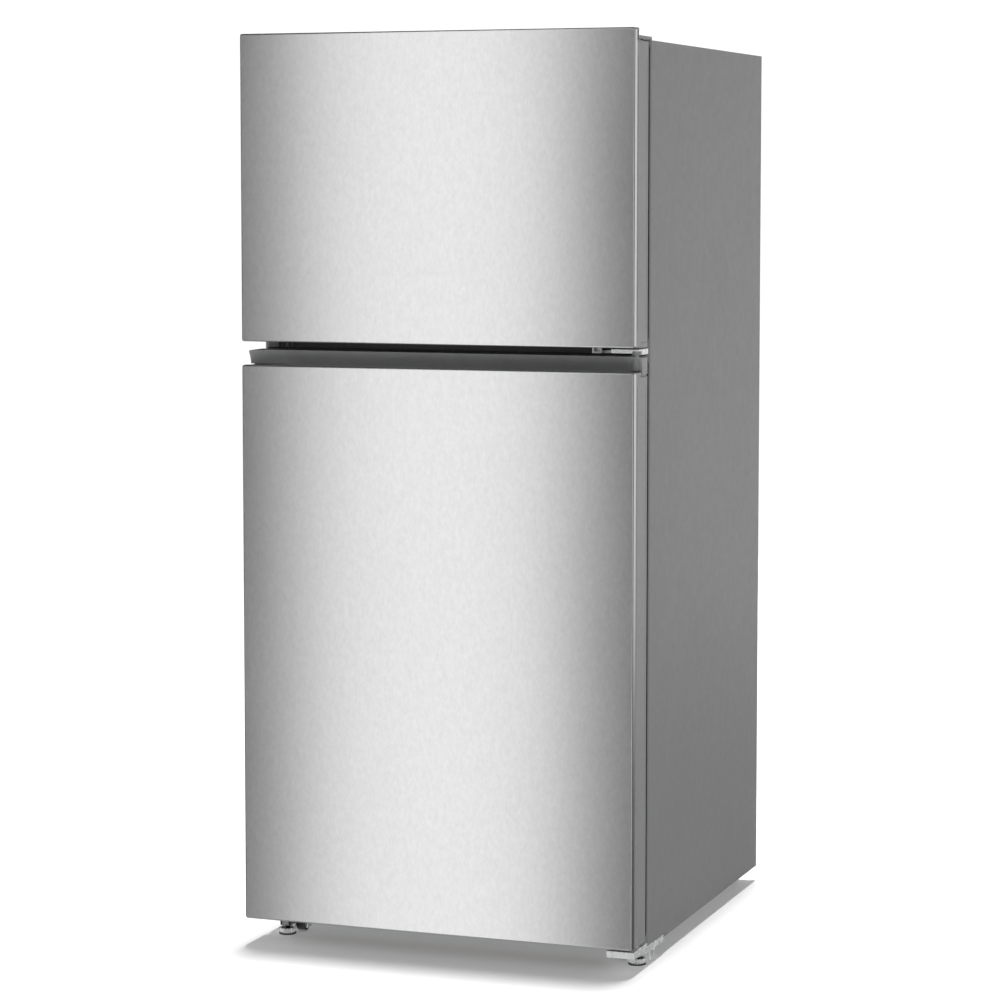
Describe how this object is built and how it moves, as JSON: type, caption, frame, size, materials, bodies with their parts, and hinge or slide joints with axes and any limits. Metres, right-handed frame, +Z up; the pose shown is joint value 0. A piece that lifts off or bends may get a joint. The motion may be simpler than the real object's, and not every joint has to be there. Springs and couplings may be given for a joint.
{
  "type": "top freezer refrigerator",
  "caption": "Tall top freezer refrigerator with flat brushed steel doors hinged on the right, a full-width pocket handle, glass shelves, drawers and door bins.",
  "frame": {"origin": "on the floor under the middle of the width and depth", "axes": "+X to the right facing the doors, +Y from the doors to the back, +Z up"},
  "size_m": [0.752, 0.846, 1.68],
  "materials": {
    "stainless": "fine vertical brushed stainless with a satin sheen",
    "cabinet_paint": "smooth grey paint",
    "frame_paint": "smooth light grey paint",
    "grey_plastic": "fine moulded texture",
    "dark_plastic": "fine moulded texture",
    "white_plastic": "smooth vacuum-formed gloss",
    "clear_plastic": "clear moulded plastic",
    "glass": "tempered glass with a green edge",
    "gasket": "soft extruded vinyl",
    "zinc_steel": "bright zinc plate",
    "black_steel": "black enamel",
    "galvanised": "galvanised sheet with faint spangle",
    "copper": "drawn copper tube",
    "aluminium": "thin aluminium fins",
    "foam": "foamed insulation"
  },
  "bodies": {
    "cabinet": {"cabinet_wrapper": "cabinet_paint", "cabinet_foam": "foam", "freezer_liner": "white_plastic", "fridge_liner": "white_plastic", "centre_rail": "dark_plastic", "back_panel": "galvanised", "base_deck": "galvanised", "top_hinge": "zinc_steel", "top_hinge_cover": "grey_plastic", "centre_hinge": "zinc_steel", "bottom_hinge": "zinc_steel", "left_bracket": "zinc_steel", "compressor": "black_steel", "condenser": "copper", "condenser_fan_motor": "black_steel", "drain_pan": "dark_plastic", "machine_cover": "galvanised", "evaporator_cover": "white_plastic", "evaporator": "aluminium", "evaporator_fan_motor": "black_steel", "freezer_shelf": "white_plastic", "shelf_frame_1": "white_plastic", "shelf_glass_1": "glass", "shelf_frame_2": "white_plastic", "shelf_glass_2": "glass", "crisper_cover": "white_plastic", "control_housing": "white_plastic", "lamp_cover": "clear_plastic", "air_duct": "white_plastic"},
    "freezer_door": {"freezer_door_skin": "stainless", "freezer_door_frame": "frame_paint", "freezer_door_foam": "foam", "freezer_door_bottom_cap": "grey_plastic", "freezer_door_liner": "white_plastic", "freezer_door_gasket": "gasket", "freezer_door_bin_1": "clear_plastic", "freezer_door_bin_2": "clear_plastic", "freezer_door_top_cap": "grey_plastic"},
    "fridge_door": {"fridge_door_skin": "stainless", "fridge_door_frame": "frame_paint", "fridge_door_foam": "foam", "fridge_door_bottom_cap": "grey_plastic", "fridge_door_liner": "white_plastic", "fridge_door_gasket": "gasket", "fridge_door_bin_1": "clear_plastic", "fridge_door_bin_2": "clear_plastic", "fridge_door_handle_cap": "grey_plastic", "dairy_body": "clear_plastic"},
    "dairy_flap": {"dairy_flap": "clear_plastic"},
    "crisper_left": {"crisper_left": "clear_plastic"},
    "crisper_right": {"crisper_right": "clear_plastic"},
    "foot_left": {"levelling_foot_left": "zinc_steel"},
    "foot_right": {"levelling_foot_right": "zinc_steel"},
    "front_roller_left": {"front_roller_left": "dark_plastic"},
    "front_roller_right": {"front_roller_right": "dark_plastic"},
    "rear_roller_left": {"rear_roller_left": "dark_plastic"},
    "rear_roller_right": {"rear_roller_right": "dark_plastic"},
    "condenser_fan": {"condenser_fan": "dark_plastic"},
    "evaporator_fan": {"evaporator_fan": "dark_plastic"},
    "temperature_knob": {"temperature_knob": "grey_plastic"}
  },
  "joints": [
    {"name": "freezer_door_hinge", "type": "hinge", "parent": "cabinet", "child": "freezer_door", "pos_m": [0.363, -0.367, 1.4], "axis": [0, 0, 1], "range_deg": [0, 130]},
    {"name": "fridge_door_hinge", "type": "hinge", "parent": "cabinet", "child": "fridge_door", "pos_m": [0.363, -0.367, 0.58], "axis": [0, 0, 1], "range_deg": [0, 130]},
    {"name": "dairy_flap_hinge", "type": "hinge", "parent": "fridge_door", "child": "dairy_flap", "pos_m": [0, -0.2547, 0.956], "axis": [1, 0, 0], "range_deg": [0, 95]},
    {"name": "crisper_left_slide", "type": "slide", "parent": "cabinet", "child": "crisper_left", "axis": [0, -1, 0], "range_m": [0, 0.09]},
    {"name": "crisper_right_slide", "type": "slide", "parent": "cabinet", "child": "crisper_right", "axis": [0, -1, 0], "range_m": [0, 0.09]},
    {"name": "foot_left_screw", "type": "slide", "parent": "cabinet", "child": "foot_left", "axis": [0, 0, -1], "range_m": [0, 0.015]},
    {"name": "foot_right_screw", "type": "slide", "parent": "cabinet", "child": "foot_right", "axis": [0, 0, -1], "range_m": [0, 0.015]},
    {"name": "front_roller_left_spin", "type": "hinge", "parent": "cabinet", "child": "front_roller_left", "pos_m": [-0.32, -0.283, 0.015], "axis": [1, 0, 0], "continuous": true},
    {"name": "rear_roller_left_spin", "type": "hinge", "parent": "cabinet", "child": "rear_roller_left", "pos_m": [-0.33, 0.389, 0.014], "axis": [1, 0, 0], "continuous": true},
    {"name": "front_roller_right_spin", "type": "hinge", "parent": "cabinet", "child": "front_roller_right", "pos_m": [0.32, -0.283, 0.015], "axis": [1, 0, 0], "continuous": true},
    {"name": "rear_roller_right_spin", "type": "hinge", "parent": "cabinet", "child": "rear_roller_right", "pos_m": [0.33, 0.389, 0.014], "axis": [1, 0, 0], "continuous": true},
    {"name": "condenser_fan_spin", "type": "hinge", "parent": "cabinet", "child": "condenser_fan", "pos_m": [-0.002, 0.298, 0.1406], "axis": [1, 0, 0], "continuous": true},
    {"name": "evaporator_fan_spin", "type": "hinge", "parent": "cabinet", "child": "evaporator_fan", "pos_m": [0, 0.295, 1.5], "axis": [0, 1, 0], "continuous": true},
    {"name": "temperature_knob_turn", "type": "hinge", "parent": "cabinet", "child": "temperature_knob", "pos_m": [0.11, -0.13, 1.054], "axis": [0, -1, 0], "range_deg": [-135, 135]}
  ]
}
